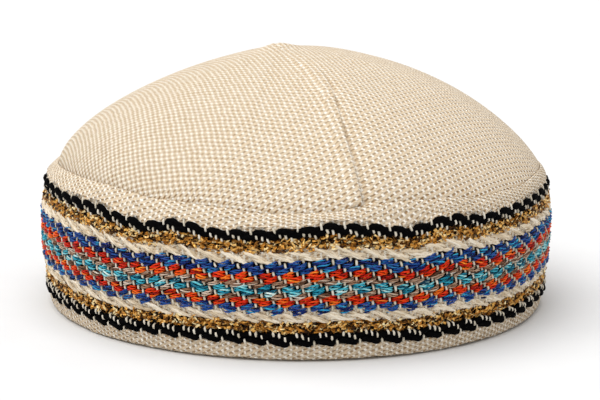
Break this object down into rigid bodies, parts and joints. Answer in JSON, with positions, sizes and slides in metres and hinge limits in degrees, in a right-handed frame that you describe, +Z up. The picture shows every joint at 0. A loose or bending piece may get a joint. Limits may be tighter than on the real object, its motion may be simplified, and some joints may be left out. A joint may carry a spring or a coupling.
{
  "type": "kippah skullcap with a woven band",
  "caption": "Round woven cloth skullcap: a domed crown of two halves sewn to a tall striped band, open below for the head, standing on its flat rim.",
  "frame": {"origin": "centre of the rim, on the surface that the cap stands on", "axes": "+Z up to the apex, -Y out of the front, +X to the right as seen from the front"},
  "size_m": [0.177, 0.177, 0.0883],
  "materials": {
    "band_ground": "coarse cream woven cotton",
    "crown_cloth": "basket-like cream woven cotton",
    "black_yarn": "thick matt wool yarn",
    "gold_thread": "crinkled metallic thread",
    "blue_silk": "silky multi-tone yarn",
    "red_silk": "silky multi-tone yarn",
    "tan_silk": "silky yarn",
    "turquoise_silk": "silky multi-tone yarn"
  },
  "bodies": {
    "root": {"band_cloth": "band_ground", "crown_left": "crown_cloth", "crown_right": "crown_cloth", "stripe_black_upper": "black_yarn", "stripe_gold_upper": "gold_thread", "stripe_blue_upper": "blue_silk", "stripe_red_upper": "red_silk", "stripe_tan_upper": "tan_silk", "stripe_turquoise": "turquoise_silk", "stripe_tan_lower": "tan_silk", "stripe_red_lower": "red_silk", "stripe_blue_lower": "blue_silk", "stripe_gold_lower": "gold_thread", "stripe_black_lower": "black_yarn"}
  },
  "joints": []
}
